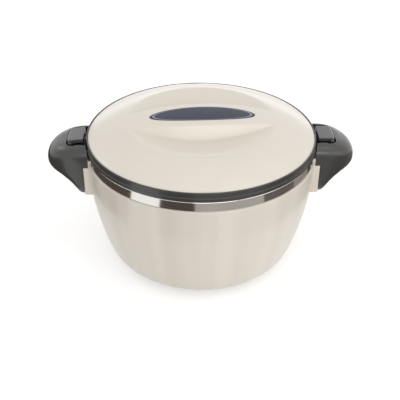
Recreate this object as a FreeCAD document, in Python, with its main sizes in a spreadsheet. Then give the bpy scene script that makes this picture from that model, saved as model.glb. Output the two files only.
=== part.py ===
import FreeCAD, Part
import math
import os
import re
import Sketcher
from FreeCAD import Placement, Rotation, Vector

os.makedirs("parts", exist_ok=True)
doc = FreeCAD.newDocument("casserole")

# Driving dimensions in millimetres and degrees. The origin is the middle of the foot ring's
# lower face, +Z is up, the two handles lie along X and the front is towards -Y.
SIZES = {
    # Polished steel band round the mouth, which the radii follow, and the bowl's rim shelf
    "band_radius": 114.9,
    "band_height": 10.1,
    "band_seat_depth": 4.0,
    "steel": 0.8,
    "rim_bend": 1.6,
    "shelf_width": 10.9,
    "bowl_drop": 38.0,
    "bowl_corner_radius": 28.0,
    "bowl_lift": 14.0,
    # Cream outer shell, a drawn cup with a softly bulging side
    "shell_edge": 1.4,
    "shell_top": 119.3,
    "shell_floor": 2.0,
    "shell_drop": 41.3,
    "shell_corner_radius": 26.0,
    "shell_wall": 2.4,
    # Base cap with the foot ring, and the plug of the foam filling hole
    "foot_inset": 5.0,
    "foot_width": 5.0,
    "base_margin": 7.0,
    "base_flange": 1.2,
    "plug_radius": 8.0,
    "plug_head": 0.5,
    "plug_head_overlap": 2.5,
    # Lid: dark ring, gasket, steel liner and cream cover
    "ring_overhang": 0.9,
    "ring_gap": 0.4,
    "ring_height": 8.7,
    "ring_chamfer": 0.5,
    "ring_lap": 0.4,
    "ring_lip": 1.8,
    "gasket_margin": 3.4,
    "gasket_width": 5.6,
    "gasket_thickness": 1.0,
    "liner_steel": 0.6,
    "liner_room": 1.4,
    "liner_grip": 1.2,
    "liner_depth": 8.4,
    "liner_corner": 6.0,
    "cover_proud": 0.5,
    "cover_edge": 2.0,
    "cover_wall": 2.2,
    "cover_rise": 20.3,
    "cover_shoulder_radius": 150.0,
    "cover_rim_slope": 27.0,
    # Round recess of the lid and the bridge left across it as the grip
    "dish_margin": 39.0,
    "dish_depth": 15.3,
    "dish_floor_radius": 26.0,
    "bridge_width": 60.7,
    "bridge_bow": 244.0,
    "bridge_draft": 23.0,
    "bridge_overrun": 16.0,
    "lid_turn": 2.2,
    # Blank oval badge on the bridge
    "badge_length": 106.0,
    "badge_width": 28.6,
    "badge_end_radius": 6.0,
    "badge_sink": 0.5,
    "badge_proud": 0.3,
    # Handle brackets on the shell
    "bracket_depth": 2.5,
    "bracket_drop": 36.3,
    "bracket_step": 4.2,
    "bracket_corner": 4.0,
    "flange_thickness": 1.9,
    "flange_rise": 3.2,
    # Handles, seen from the side as ears that reach outwards
    "handle_reach": 37.2,
    "handle_width": 60.0,
    "handle_rise": 6.6,
    "handle_fall": 22.5,
    "toe_drop": 1.0,
    "handle_top_corner": 9.0,
    "handle_toe_corner": 6.5,
    "core_depth": 22.0,
    "core_width": 22.0,
    "core_lift": 24.0,
    "core_roof": 4.6,
    # Latch pocket in each handle and the catch ribs on its floor
    "pocket_sink": 6.6,
    "pocket_width": 34.0,
    "pocket_length": 16.4,
    "pocket_corner": 7.0,
    "rib_radius": 1.6,
    "rib_spacing": 15.0,
    "rib_length": 8.9,
    "rib_rise": 1.4,
    # Latch levers and their hinge pins
    "pin_offset": 12.2,
    "pin_lift": 4.4,
    "pin_radius": 1.25,
    "pin_clearance": 0.05,
    "latch_width": 24.0,
    "latch_length": 12.7,
    "latch_plate": 2.3,
    "latch_knuckle_radius": 3.6,
    "latch_skirt": 1.6,
    "latch_skirt_depth": 4.5,
    "latch_lip": 1.8,
    "latch_side_gap": 0.4,
    "cheek_thickness": 2.6,
    "cheek_radius": 2.6,
    "left_latch_lift": 6.0,
    # Handle screws, driven outwards through the shell and the bracket
    "screw_radius": 2.0,
    "screw_clearance": 0.25,
    "screw_head_radius": 4.0,
    "screw_head_height": 2.4,
    "screw_seat_depth": 5.4,
    "screw_length": 20.0,
    "screw_spacing": 36.0,
    "screw_drop": 18.3,
    # Gap between pieces of one assembly that are slid together
    "fit": 0.1,
}

# Sizes that follow from the ones above, so that pieces that meet keep together
WORKED_OUT = {
    "shell_rim_radius": "band_radius + shell_edge",
    "shell_flat_radius": "shell_rim_radius - shell_drop",
    "rim_top": "shell_top + band_height",
    "bowl_radius": "band_radius - shelf_width",
    "bowl_flat_radius": "bowl_radius - bowl_drop",
    "bowl_floor": "shell_floor + bowl_lift",
    "foot_radius": "shell_flat_radius - foot_inset",
    "base_hole_radius": "foot_radius - foot_width - base_margin",
    "ring_radius": "band_radius + ring_overhang",
    "ring_inner_radius": "bowl_radius + ring_lap",
    "gasket_outer_radius": "band_radius - gasket_margin",
    "gasket_inner_radius": "gasket_outer_radius - gasket_width",
    "liner_flange_radius": "gasket_inner_radius + liner_grip",
    "liner_radius": "bowl_radius - liner_room",
    "cover_radius": "ring_radius - ring_lip",
    "dish_radius": "cover_radius - dish_margin",
    "bracket_face": "shell_rim_radius + bracket_depth",
    "bracket_width": "handle_width",
    "bracket_bottom": "shell_top - bracket_drop",
    "bracket_top": "shell_top - bracket_step",
    "flange_top": "shell_top + flange_rise",
    "handle_top": "rim_top + handle_rise",
    "handle_tip_height": "handle_top - handle_fall",
    "handle_toe": "bracket_bottom - toe_drop",
    "core_bottom": "handle_toe + core_lift",
    "pocket_floor": "handle_top - pocket_sink",
    "pocket_end": "bracket_face + pocket_length",
    "pin_reach": "bracket_face + pin_offset",
    "pin_height": "pocket_floor + pin_lift",
    "screw_seat": "shell_rim_radius - screw_seat_depth",
    "screw_height": "shell_top - screw_drop",
}

# Length of helper solids that only have to reach past the piece they cut
PAST = 200.0

sheet = doc.addObject("Spreadsheet::Sheet", "Sizes")
for row, (alias, size) in enumerate(SIZES.items(), start=1):
    sheet.set(f"A{row}", alias)
    sheet.set(f"B{row}", str(size))
    sheet.setAlias(f"B{row}", alias)
doc.recompute()

WORDS = re.compile(r"\b(" + "|".join([*SIZES, *WORKED_OUT]) + r")\b")


def linked(text):
    """The text of a formula with each name led back to the sheet's cells."""
    def cell(found):
        name = found[1]
        return f"({linked(WORKED_OUT[name])})" if name in WORKED_OUT else f"Sizes.{name}"

    return WORDS.sub(cell, str(text))


def number(text):
    """What a formula comes to at the sheet's present sizes."""
    return float(sheet.evalExpression(linked(text)))


def bind(item, links):
    """Bind properties of a document object to formulas."""
    for path, text in links.items():
        item.setExpression(path, linked(text))
    return item


# Sketches and features


def arc_between(start, end, radius, side):
    """The short arc from start to end that turns to the given side."""
    chord = end - start
    middle = (start + end) * 0.5
    across = Vector(-chord.y, chord.x, 0).normalize()
    height = math.sqrt(max(radius ** 2 - (chord.Length / 2) ** 2, 0))
    centre = middle + across * (height if side == "left" else -height)
    first, last = (start, end) if side == "left" else (end, start)
    angles = [math.atan2(point.y - centre.y, point.x - centre.x) for point in (first, last)]
    if angles[1] < angles[0]:
        angles[1] += 2 * math.pi
    return Part.ArcOfCircle(Part.Circle(centre, Vector(0, 0, 1), radius), *angles)


def outline(body, name, role, points):
    """A closed sketch through points given as formulas, each (x, y) or (x, y, side, radius)."""
    plane = next(item for item in body.Origin.OriginFeatures if item.Role == role)
    sketch = body.newObject("Sketcher::SketchObject", name)
    sketch.AttachmentSupport = (plane, [""])
    sketch.MapMode = "FlatFace"
    corners = [Vector(number(point[0]), number(point[1]), 0) for point in points]
    ends = []
    for index, point in enumerate(points):
        start, end = corners[index - 1], corners[index]
        if len(point) == 2:
            sketch.addGeometry(Part.LineSegment(start, end), False)
            ends.append((1, 2))
        else:
            sketch.addGeometry(arc_between(start, end, number(point[3]), point[2]), False)
            ends.append((1, 2) if point[2] == "left" else (2, 1))
    for index, point in enumerate(points):
        following = (index + 1) % len(points)
        here = (index, ends[index][1])
        sketch.addConstraint(Sketcher.Constraint("Coincident", *here, following, ends[following][0]))
        for kind, axis, text in (("DistanceX", -2, point[0]), ("DistanceY", -1, point[1])):
            if text == "0":
                sketch.addConstraint(Sketcher.Constraint("PointOnObject", *here, axis))
                continue
            held = sketch.addConstraint(Sketcher.Constraint(kind, -1, 1, *here, number(text)))
            sketch.setExpression(f"Constraints[{held}]", linked(text))
        if len(point) == 4:
            held = sketch.addConstraint(Sketcher.Constraint("Radius", index, number(point[3])))
            sketch.setExpression(f"Constraints[{held}]", linked(point[3]))
    return sketch


def turned(name, points):
    """A body of revolution about Z from an outline in the XZ plane."""
    body = doc.addObject("PartDesign::Body", name)
    sketch = outline(body, name + "_outline", "XZ_Plane", points)
    turn = body.newObject("PartDesign::Revolution", name + "_turn")
    turn.Profile = (sketch, [""])
    turn.ReferenceAxis = (sketch, ["V_Axis"])
    turn.Angle = 360
    body.Tip = turn
    return body


def padded(name, role, points, length, lift="0", both_ways=False):
    """A body of one thickness from an outline, moved along its plane's normal by lift."""
    body = doc.addObject("PartDesign::Body", name)
    sketch = outline(body, name + "_outline", role, points)
    bind(sketch, {"AttachmentOffset.Base.z": lift})
    pad = body.newObject("PartDesign::Pad", name + "_pad")
    pad.Profile = (sketch, [""])
    if both_ways:
        pad.SideType = "Symmetric"
    bind(pad, {"Length": length})
    body.Tip = pad
    return body


def block(name, low, high):
    """A box between two corners given as formulas."""
    item = doc.addObject("Part::Box", name)
    for size, axis, start, end in zip(("Length", "Width", "Height"), "xyz", low, high):
        bind(item, {f"Placement.Base.{axis}": start, size: f"({end}) - ({start})"})
    return item


def rod(name, start, axis, radius, length):
    """A cylinder from a start point given as formulas along +X, +Y or +Z."""
    item = doc.addObject("Part::Cylinder", name)
    item.Placement = Placement(Vector(), Rotation(Vector(0, 0, 1), axis))
    bind(item, {"Radius": radius, "Height": length})
    bind(item, {f"Placement.Base.{letter}": text for letter, text in zip("xyz", start)})
    return item


def joined(name, *items):
    result = doc.addObject("Part::MultiFuse", name)
    result.Shapes = list(items)
    return result


def shared(name, *items):
    result = doc.addObject("Part::MultiCommon", name)
    result.Shapes = list(items)
    return result


def cut(name, base, *tools):
    result = doc.addObject("Part::Cut", name)
    result.Base = base
    result.Tool = tools[0] if len(tools) == 1 else joined(name + "_tools", *tools)
    return result


X_AXIS = Vector(1, 0, 0)
Y_AXIS = Vector(0, 1, 0)
Z_AXIS = Vector(0, 0, 1)
pieces = {}


# Curves shared by several pieces


def belly(rim, top, floor, flat, corner, inset):
    """Side of a drawn cup, upright at its rim and tangent to a rounded foot, set in by inset.

    Gives the end of the flat, the tangent point and the two radii as formulas, and a function
    for the radius at a height.
    """
    drop = f"({rim} - {flat})"
    rise = f"({top} - {floor} - {corner})"
    bulge = f"(({drop}^2 + {rise}^2 - {corner}^2) / (2 * ({drop} - {corner})))"
    foot = f"({corner} - {inset})"
    side = f"({bulge} - {inset})"
    start = (flat, f"{floor} + {inset}")
    tangent = (
        f"{flat} + {foot} * ({bulge} - {drop}) / ({bulge} - {corner})",
        f"{floor} + {corner} - {foot} * {rise} / ({bulge} - {corner})",
    )

    def radius_at(height):
        return f"{rim} - {bulge} + sqrt({side}^2 - ({top} - ({height}))^2)"

    return start, tangent, foot, side, radius_at


def dome(inset):
    """Cover profile from its shoulder to the crown, set in by inset."""
    apex = "(rim_top + ring_gap + ring_height + cover_proud + cover_rise)"
    shoulder_x = "(cover_radius - cover_shoulder_radius * sin(cover_rim_slope))"
    fall = "(cover_rise + cover_shoulder_radius * cos(cover_rim_slope))"
    crown = (f"((cover_shoulder_radius^2 - {shoulder_x}^2 - {fall}^2)"
             f" / (2 * (cover_shoulder_radius - {fall})))")
    reach = f"(({crown} - {inset}) / ({crown} - cover_shoulder_radius))"
    tangent = (f"{shoulder_x} * {reach}",
               f"{apex} - {crown} + ({crown} - {fall}) * {reach}")
    shoulder = f"(cover_shoulder_radius - {inset})"

    def shoulder_height(radius):
        return f"{apex} - {fall} + sqrt({shoulder}^2 - ({radius} - {shoulder_x})^2)"

    def crown_height(radius):
        return f"{apex} - {crown} + sqrt(({crown} - {inset})^2 - ({radius})^2)"

    return tangent, shoulder, f"({crown} - {inset})", shoulder_height, crown_height


SHELL = ("shell_rim_radius", "shell_top", "shell_floor", "shell_flat_radius", "shell_corner_radius")
RIM_BEND_HEIGHT = "(rim_top - rim_bend)"
BOWL = ("bowl_radius", RIM_BEND_HEIGHT, "bowl_floor", "bowl_flat_radius", "bowl_corner_radius")
BAND_SEAT = "(shell_top - band_seat_depth)"
BAND_SEAT_RADIUS = "(band_radius + fit)"
BAND_INSIDE = "(band_radius - steel)"
SHELL_INSIDE_FLOOR = "(shell_floor + shell_wall)"
UNDER_SHELF = "(rim_top - steel)"
INNER_BEND = "(rim_bend - steel)"

shell_out = belly(*SHELL, "0")
shell_in = belly(*SHELL, "shell_wall")
bowl_in = belly(*BOWL, "0")
bowl_out = belly(*BOWL, "(-steel)")


# Screws, pins and holes that other pieces are cut with


def screw_row(name, radius, start, length):
    """Two rods along X at the screws' places."""
    return [rod(f"{name}_{tag}", (start, f"{sign} * screw_spacing / 2", "screw_height"),
                X_AXIS, radius, length)
            for tag, sign in (("front", -1), ("back", 1))]


def half_turned(item, side):
    """Carry a piece built at +X to the other side of the pot."""
    if side == "left":
        item.Placement = Placement(Vector(), Rotation(Z_AXIS, 180))
    return item


for side in ("right", "left"):
    name = f"{side}_handle_screws"
    shanks = screw_row(f"{name}_shank", "screw_radius", "screw_seat", "screw_length")
    heads = screw_row(f"{name}_head", "screw_head_radius", "screw_seat - screw_head_height",
                      "screw_head_height")
    singles = [joined(f"{name}_{index}", *pair) for index, pair in enumerate(zip(shanks, heads))]
    row = doc.addObject("Part::Compound", name)
    row.Links = singles
    pieces[name] = half_turned(row, side)

holes = [half_turned(joined(f"{side}_screw_holes", *screw_row(
    f"{side}_hole", "screw_radius + screw_clearance", "screw_seat", "screw_length")), side)
    for side in ("right", "left")]


# Outer shell, open below for the base cap

start, tangent, foot, bulge, _ = shell_out
inner_start, inner_tangent, inner_foot, inner_bulge, inner_radius = shell_in
shell_blank = turned("shell_blank", [
    ("base_hole_radius", "shell_floor"),
    start,
    (*tangent, "left", foot),
    ("shell_rim_radius", "shell_top", "left", bulge),
    (BAND_SEAT_RADIUS, "shell_top"),
    (BAND_SEAT_RADIUS, BAND_SEAT),
    (inner_radius(BAND_SEAT), BAND_SEAT),
    (*inner_tangent, "right", inner_bulge),
    (*inner_start, "right", inner_foot),
    ("base_hole_radius", SHELL_INSIDE_FLOOR),
])
pieces["outer_shell"] = cut("outer_shell", shell_blank, *holes)

# Solid of the shell's outer form, which the brackets are fitted to
shell_form = turned("shell_form", [
    ("0", "shell_floor"),
    start,
    (*tangent, "left", foot),
    ("shell_rim_radius", "shell_top", "left", bulge),
    ("0", "shell_top"),
])


# Base cap with its foot ring, and the plug in the filling hole

CAP_FACE = "(shell_floor - base_flange)"
pieces["base_cap"] = turned("base_cap", [
    ("plug_radius", CAP_FACE),
    ("foot_radius - foot_width", CAP_FACE),
    ("foot_radius - foot_width", "0"),
    ("foot_radius", "0"),
    ("foot_radius", "shell_floor"),
    ("base_hole_radius - fit", "shell_floor"),
    ("base_hole_radius - fit", SHELL_INSIDE_FLOOR),
    ("plug_radius", SHELL_INSIDE_FLOOR),
])
pieces["filling_plug"] = turned("filling_plug", [
    ("0", f"{CAP_FACE} - plug_head"),
    ("plug_radius + plug_head_overlap", f"{CAP_FACE} - plug_head"),
    ("plug_radius + plug_head_overlap", CAP_FACE),
    ("plug_radius - fit", CAP_FACE),
    ("plug_radius - fit", SHELL_INSIDE_FLOOR),
    ("0", SHELL_INSIDE_FLOOR),
])


# Steel bowl: dish, rim shelf and the polished band turned down over the shell's edge

start, tangent, foot, bulge, _ = bowl_out
inner_start, inner_tangent, inner_foot, inner_side, _ = bowl_in
pieces["inner_bowl"] = turned("inner_bowl", [
    ("0", "bowl_floor - steel"),
    start,
    (*tangent, "left", foot),
    ("bowl_radius + steel", RIM_BEND_HEIGHT, "left", bulge),
    ("bowl_radius + rim_bend", UNDER_SHELF, "right", INNER_BEND),
    ("band_radius - rim_bend", UNDER_SHELF),
    (BAND_INSIDE, RIM_BEND_HEIGHT, "right", INNER_BEND),
    (BAND_INSIDE, BAND_SEAT),
    ("band_radius", BAND_SEAT),
    ("band_radius", RIM_BEND_HEIGHT),
    ("band_radius - rim_bend", "rim_top", "left", "rim_bend"),
    ("bowl_radius + rim_bend", "rim_top"),
    ("bowl_radius", RIM_BEND_HEIGHT, "left", "rim_bend"),
    (*inner_tangent, "right", inner_side),
    (*inner_start, "right", inner_foot),
    ("0", "bowl_floor"),
])


# Foam poured between shell and bowl, round the screw heads

shell_start, shell_tangent, shell_foot, shell_side, shell_radius = shell_in
foam_blank = turned("foam_blank", [
    ("0", SHELL_INSIDE_FLOOR),
    shell_start,
    (*shell_tangent, "left", shell_foot),
    (shell_radius(BAND_SEAT), BAND_SEAT, "left", shell_side),
    (BAND_INSIDE, BAND_SEAT),
    (BAND_INSIDE, RIM_BEND_HEIGHT),
    ("band_radius - rim_bend", UNDER_SHELF, "left", INNER_BEND),
    ("bowl_radius + rim_bend", UNDER_SHELF),
    ("bowl_radius + steel", RIM_BEND_HEIGHT, "left", INNER_BEND),
    (*tangent, "right", bulge),
    (*start, "right", foot),
    ("0", "bowl_floor - steel"),
])
pieces["body_foam"] = cut("body_foam", foam_blank,
                          pieces["right_handle_screws"], pieces["left_handle_screws"])


# Lid ring, which rests over the bowl's shelf and carries the other lid pieces

RING_FLOOR = "(rim_top + ring_gap)"
RING_TOP = "(rim_top + ring_gap + ring_height)"
COVER_FOOT = f"({RING_TOP} + cover_proud - cover_edge)"
RECESS_LOW = f"({RING_TOP} + cover_proud + cover_rise - dish_depth)"
GASKET_TOP = "(rim_top + gasket_thickness)"
LINER_TOP = f"({GASKET_TOP} + liner_steel)"
LINER_FLOOR = f"({GASKET_TOP} - liner_depth)"
pieces["lid_ring"] = turned("lid_ring", [
    ("gasket_outer_radius + fit", RING_FLOOR),
    ("ring_radius", RING_FLOOR),
    ("ring_radius", f"{RING_TOP} - ring_chamfer"),
    ("ring_radius - ring_chamfer", RING_TOP),
    ("cover_radius + fit", RING_TOP),
    ("cover_radius + fit", COVER_FOOT),
    ("ring_inner_radius", COVER_FOOT),
    ("ring_inner_radius", LINER_TOP),
    ("liner_flange_radius + fit", LINER_TOP),
    ("liner_flange_radius + fit", GASKET_TOP),
    ("gasket_outer_radius + fit", GASKET_TOP),
])
pieces["lid_gasket"] = turned("lid_gasket", [
    ("gasket_inner_radius", "rim_top"),
    ("gasket_outer_radius", "rim_top"),
    ("gasket_outer_radius", GASKET_TOP),
    ("gasket_inner_radius", GASKET_TOP),
])
pieces["lid_liner"] = turned("lid_liner", [
    ("0", LINER_FLOOR),
    ("liner_radius - liner_corner", LINER_FLOOR),
    ("liner_radius", f"{LINER_FLOOR} + liner_corner", "left", "liner_corner"),
    ("liner_radius", GASKET_TOP),
    ("liner_flange_radius", GASKET_TOP),
    ("liner_flange_radius", LINER_TOP),
    ("liner_radius - liner_steel", LINER_TOP),
    ("liner_radius - liner_steel", f"{LINER_FLOOR} + liner_corner"),
    ("liner_radius - liner_corner", f"{LINER_FLOOR} + liner_steel", "right",
     "liner_corner - liner_steel"),
    ("0", f"{LINER_FLOOR} + liner_steel"),
])


# Cover: dome, round recess and the bridge across it, as an outer form less an inner one


def lid_turned(body):
    """Turn a piece of the lid as the lid was put on, a little off the handles' line."""
    return bind(body, {"Placement.Rotation.Angle": "lid_turn"})


def cover_form(name, inset, edge_radius):
    """Dome with its two scoops, set in by inset all over."""
    tangent, shoulder, crown, shoulder_height, crown_height = dome(inset)
    _, _, _, outer_shoulder_height, _ = dome("0")
    cap = turned(f"{name}_dome", [
        ("0", COVER_FOOT),
        (edge_radius, COVER_FOOT),
        (edge_radius, shoulder_height(edge_radius)),
        (*tangent, "left", shoulder),
        ("0", crown_height("0"), "left", crown),
    ])
    low = f"{RECESS_LOW} - {inset}"
    brim = outer_shoulder_height("dish_radius")
    dish = turned(f"{name}_dish", [
        ("0", low),
        ("dish_floor_radius", low),
        ("dish_radius", f"{brim} - {inset}"),
        (f"dish_radius + {inset} + fit", f"{brim}"),
        (f"dish_radius + {inset} + fit", str(PAST)),
        ("0", str(PAST)),
    ])
    reach = "(dish_radius + bridge_overrun)"
    half = f"(bridge_width / 2 - {inset} - bridge_bow + sqrt(bridge_bow^2 - {reach}^2))"
    bridge = padded(f"{name}_bridge", "XY_Plane", [
        (reach, half),
        (f"-{reach}", half, "left", "bridge_bow"),
        (f"-{reach}", f"-{half}"),
        (reach, f"-{half}", "left", "bridge_bow"),
    ], "dish_depth + cover_wall + fit", lift=f"{RECESS_LOW} - cover_wall")
    bind(bridge.Tip, {"TaperAngle": "-bridge_draft"})
    return cut(f"{name}_form", cap, cut(f"{name}_scoops", dish, lid_turned(bridge)))


cover_outside = cover_form("cover_outside", "0", "cover_radius")
cover_inside = cover_form("cover_inside", "cover_wall", "(cover_radius - cover_wall)")

# Badge, an oval plate of four arcs that follows the crown
_, _, sunk_crown, _, sunk_height = dome("badge_sink")
_, _, proud_crown, _, proud_height = dome("(-badge_proud)")
BADGE_ROUND = "(badge_length / 2 + badge_sink)"
badge_zone = turned("badge_zone", [
    ("0", sunk_height("0")),
    (BADGE_ROUND, sunk_height(BADGE_ROUND), "right", sunk_crown),
    (BADGE_ROUND, proud_height(BADGE_ROUND)),
    ("0", proud_height("0"), "left", proud_crown),
])
BADGE_REACH = "(badge_length / 2 - badge_end_radius)"
BADGE_SIDE = (f"(({BADGE_REACH}^2 + (badge_width / 2)^2 - badge_end_radius^2)"
              " / (badge_width - 2 * badge_end_radius))")
BADGE_X = f"{BADGE_REACH} * (1 + badge_end_radius / ({BADGE_SIDE} - badge_end_radius))"
BADGE_Y = f"badge_end_radius * ({BADGE_SIDE} - badge_width / 2) / ({BADGE_SIDE} - badge_end_radius)"
badge_oval = padded("badge_oval", "XY_Plane", [
    (BADGE_X, BADGE_Y, "left", "badge_end_radius"),
    (f"-({BADGE_X})", BADGE_Y, "left", BADGE_SIDE),
    (f"-({BADGE_X})", f"-({BADGE_Y})", "left", "badge_end_radius"),
    (BADGE_X, f"-({BADGE_Y})", "left", BADGE_SIDE),
], PAST)
pieces["lid_badge"] = shared("lid_badge", badge_zone, lid_turned(badge_oval))
cover_shell = cut("cover_shell", cover_outside, cover_inside)
pieces["lid_cover"] = cut("lid_cover", cover_shell, pieces["lid_badge"])

# Foam that fills the lid from the liner up to the cover
lower_foam = turned("lower_foam", [
    ("0", f"{LINER_FLOOR} + liner_steel"),
    ("liner_radius - liner_corner", f"{LINER_FLOOR} + liner_steel"),
    ("liner_radius - liner_steel", f"{LINER_FLOOR} + liner_corner", "left",
     "liner_corner - liner_steel"),
    ("liner_radius - liner_steel", LINER_TOP),
    ("ring_inner_radius", LINER_TOP),
    ("ring_inner_radius", COVER_FOOT),
    ("0", COVER_FOOT),
])
pieces["lid_foam"] = joined("lid_foam", lower_foam, cover_inside)


# Handle brackets, moulded pads that make a flat face on the round shell

FLANGE_RADIUS = f"({BAND_SEAT_RADIUS} + flange_thickness)"
HALF_BRACKET = "bracket_width / 2"


def bracket(side):
    name = f"{side}_bracket"
    pad = padded(f"{name}_pad", "XZ_Plane", [
        ("base_hole_radius", "bracket_bottom"),
        ("bracket_face - bracket_corner", "bracket_bottom"),
        ("bracket_face", "bracket_bottom + bracket_corner", "left", "bracket_corner"),
        ("bracket_face", "bracket_top"),
        ("base_hole_radius", "bracket_top"),
    ], "bracket_width", both_ways=True)
    round_flange = rod(f"{name}_round", ("0", "0", "bracket_bottom"), Z_AXIS, FLANGE_RADIUS,
                       "flange_top - bracket_bottom")
    wedge = block(f"{name}_wedge", ("base_hole_radius", f"-{HALF_BRACKET}", "bracket_bottom"),
                  ("bracket_face", HALF_BRACKET, "flange_top"))
    flange = shared(f"{name}_flange", round_flange, wedge)
    band_room = rod(f"{name}_band_room", ("0", "0", "0"), Z_AXIS, BAND_SEAT_RADIUS, PAST)
    bores = screw_row(f"{name}_bore", "screw_radius + screw_clearance", "screw_seat",
                      "screw_length")
    blank = joined(f"{name}_blank", pad, flange)
    return half_turned(cut(name, blank, shell_form, band_room, *bores), side)


# Handles: a lofted ear with a root that laps over the bracket, cored from behind, with a
# pocket for the latch in its top. Each station gives how far out it stands, how much of
# the toe's depth is left there and how much of the corner radii.

EAR_STATIONS = (
    (0.0, 1.0, 1.0),
    (0.12, 0.97, 1.0),
    (0.25, 0.76, 1.0),
    (0.42, 0.54, 1.0),
    (0.61, 0.39, 1.0),
    (0.8, 0.31, 0.9),
    (0.93, 0.23, 0.7),
    (1.0, 0.12, 0.3),
)
EAR_END = 0.985
HANDLE_CLEAR_RADIUS = f"({FLANGE_RADIUS} + fit)"


def ear_section(station, depth_left, corner_left):
    """Rounded rectangle across the ear at one station, in Y and Z."""
    share = round(math.sqrt(1 - (station * EAR_END) ** 2), 4)
    half = f"(handle_width / 2 * {share})"
    high = f"(handle_tip_height + (handle_top - handle_tip_height) * {share})"
    low = f"(handle_tip_height - (handle_tip_height - handle_toe) * {depth_left})"
    top = f"(handle_top_corner * {corner_left})"
    toe = f"(handle_toe_corner * {corner_left})"
    return [
        (f"{half} - {toe}", low),
        (half, f"{low} + {toe}", "left", toe),
        (half, f"{high} - {top}"),
        (f"{half} - {top}", high, "left", top),
        (f"-({half} - {top})", high),
        (f"-{half}", f"{high} - {top}", "left", top),
        (f"-{half}", f"{low} + {toe}"),
        (f"-({half} - {toe})", low, "left", toe),
    ]


def ear(name):
    """Root block and lofted ear in one body."""
    body = doc.addObject("PartDesign::Body", name)
    sections = []
    for index, station in enumerate(EAR_STATIONS):
        section = outline(body, f"{name}_section_{index}", "YZ_Plane", ear_section(*station))
        bind(section, {"AttachmentOffset.Base.z": f"bracket_face + handle_reach * {station[0]}"})
        sections.append(section)
    root = body.newObject("PartDesign::Pad", f"{name}_root")
    root.Profile = (sections[0], [""])
    root.Reversed = True
    bind(root, {"Length": "bracket_face - bowl_radius"})
    doc.recompute()
    loft = body.newObject("PartDesign::AdditiveLoft", f"{name}_loft")
    loft.Profile = (sections[0], [""])
    loft.Sections = sections[1:]
    body.Tip = loft
    return body


def latch_pocket(name):
    """Rounded pocket, open towards the lid."""
    half = "pocket_width / 2"
    return padded(name, "XY_Plane", [
        ("bowl_radius", f"-{half}"),
        ("pocket_end - pocket_corner", f"-{half}"),
        ("pocket_end", f"-({half} - pocket_corner)", "left", "pocket_corner"),
        ("pocket_end", f"{half} - pocket_corner"),
        ("pocket_end - pocket_corner", half, "left", "pocket_corner"),
        ("bowl_radius", half),
    ], PAST, lift="pocket_floor")


CHEEK_INSIDE = "(latch_width / 2 + latch_side_gap)"
CHEEK_OUTSIDE = f"({CHEEK_INSIDE} + cheek_thickness)"


def hinge_rod(name, radius, reach="pin_reach"):
    """Rod along Y through both cheeks, at the latch's hinge."""
    return rod(name, (reach, f"-{CHEEK_OUTSIDE}", "pin_height"), Y_AXIS, radius,
               f"2 * {CHEEK_OUTSIDE}")


def latch_cheeks(name):
    """Two upright cheeks on the pocket's floor that hold the hinge pin."""
    parts = []
    for tag, inner in (("front", f"-{CHEEK_OUTSIDE}"), ("back", CHEEK_INSIDE)):
        web = block(f"{name}_{tag}_web", ("pin_reach - cheek_radius", inner, "pocket_floor - fit"),
                    ("pin_reach + cheek_radius", f"{inner} + cheek_thickness", "pin_height"))
        eye = rod(f"{name}_{tag}_eye", ("pin_reach", inner, "pin_height"), Y_AXIS, "cheek_radius",
                  "cheek_thickness")
        parts += [web, eye]
    return parts


def catch_ribs(name):
    """Two round ribs on the pocket's floor, under the latch plate."""
    inner = "pin_reach - latch_length"
    return [rod(f"{name}_{tag}", (inner, f"{sign} * rib_spacing / 2", "pocket_floor + rib_rise"),
                X_AXIS, "rib_radius", "rib_length")
            for tag, sign in (("front", -1), ("back", 1))]


def handle(side):
    name = f"{side}_handle"
    lid_room = rod(f"{name}_lid_room", ("0", "0", "0"), Z_AXIS, HANDLE_CLEAR_RADIUS, PAST)
    bracket_room = block(f"{name}_bracket_room", ("0", "-handle_width", "0"),
                         ("bracket_face", "handle_width", "bracket_top + fit"))
    core = block(f"{name}_core", ("base_hole_radius", "-core_width / 2", "core_bottom"),
                 ("bracket_face + core_depth", "core_width / 2", "pocket_floor - core_roof"))
    bores = screw_row(f"{name}_bore", "screw_radius", "screw_seat", "screw_length")
    hollowed = cut(f"{name}_hollowed", ear(f"{name}_ear"), lid_room, bracket_room, core,
                   latch_pocket(f"{name}_pocket"), *bores)
    fitted = joined(f"{name}_fitted", hollowed, *latch_cheeks(f"{name}_cheek"),
                    *catch_ribs(f"{name}_rib"))
    return half_turned(cut(name, fitted, hinge_rod(f"{name}_eyes", "pin_radius")), side)


# Latch levers, which turn about a pin at their outer end


def latch(side):
    name = f"{side}_latch"
    half = "latch_width / 2"
    inner_edge = "pin_reach - latch_length"
    top = "(pin_height + latch_knuckle_radius)"
    cover = block(f"{name}_cover", (inner_edge, f"-{half}", f"{top} - latch_skirt_depth"),
                  ("pin_reach", half, top))
    knuckle = rod(f"{name}_knuckle", ("pin_reach", f"-{half}", "pin_height"), Y_AXIS,
                  "latch_knuckle_radius", "latch_width")
    hollow = block(f"{name}_hollow",
                   (f"{inner_edge} + latch_lip", f"-({half} - latch_skirt)", "0"),
                   ("pin_reach - latch_knuckle_radius", f"{half} - latch_skirt",
                    f"{top} - latch_plate"))
    bore = hinge_rod(f"{name}_bore", "pin_radius + pin_clearance")
    lever = cut(name, joined(f"{name}_blank", cover, knuckle), hollow, bore)
    if side == "left":
        pin = Vector(number("pin_reach"), 0, number("pin_height"))
        lift = Rotation(Y_AXIS, number("left_latch_lift"))
        opposite = Placement(Vector(), Rotation(Z_AXIS, 180))
        lever.Placement = opposite * Placement(Vector(), lift, pin)
    return lever


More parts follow.
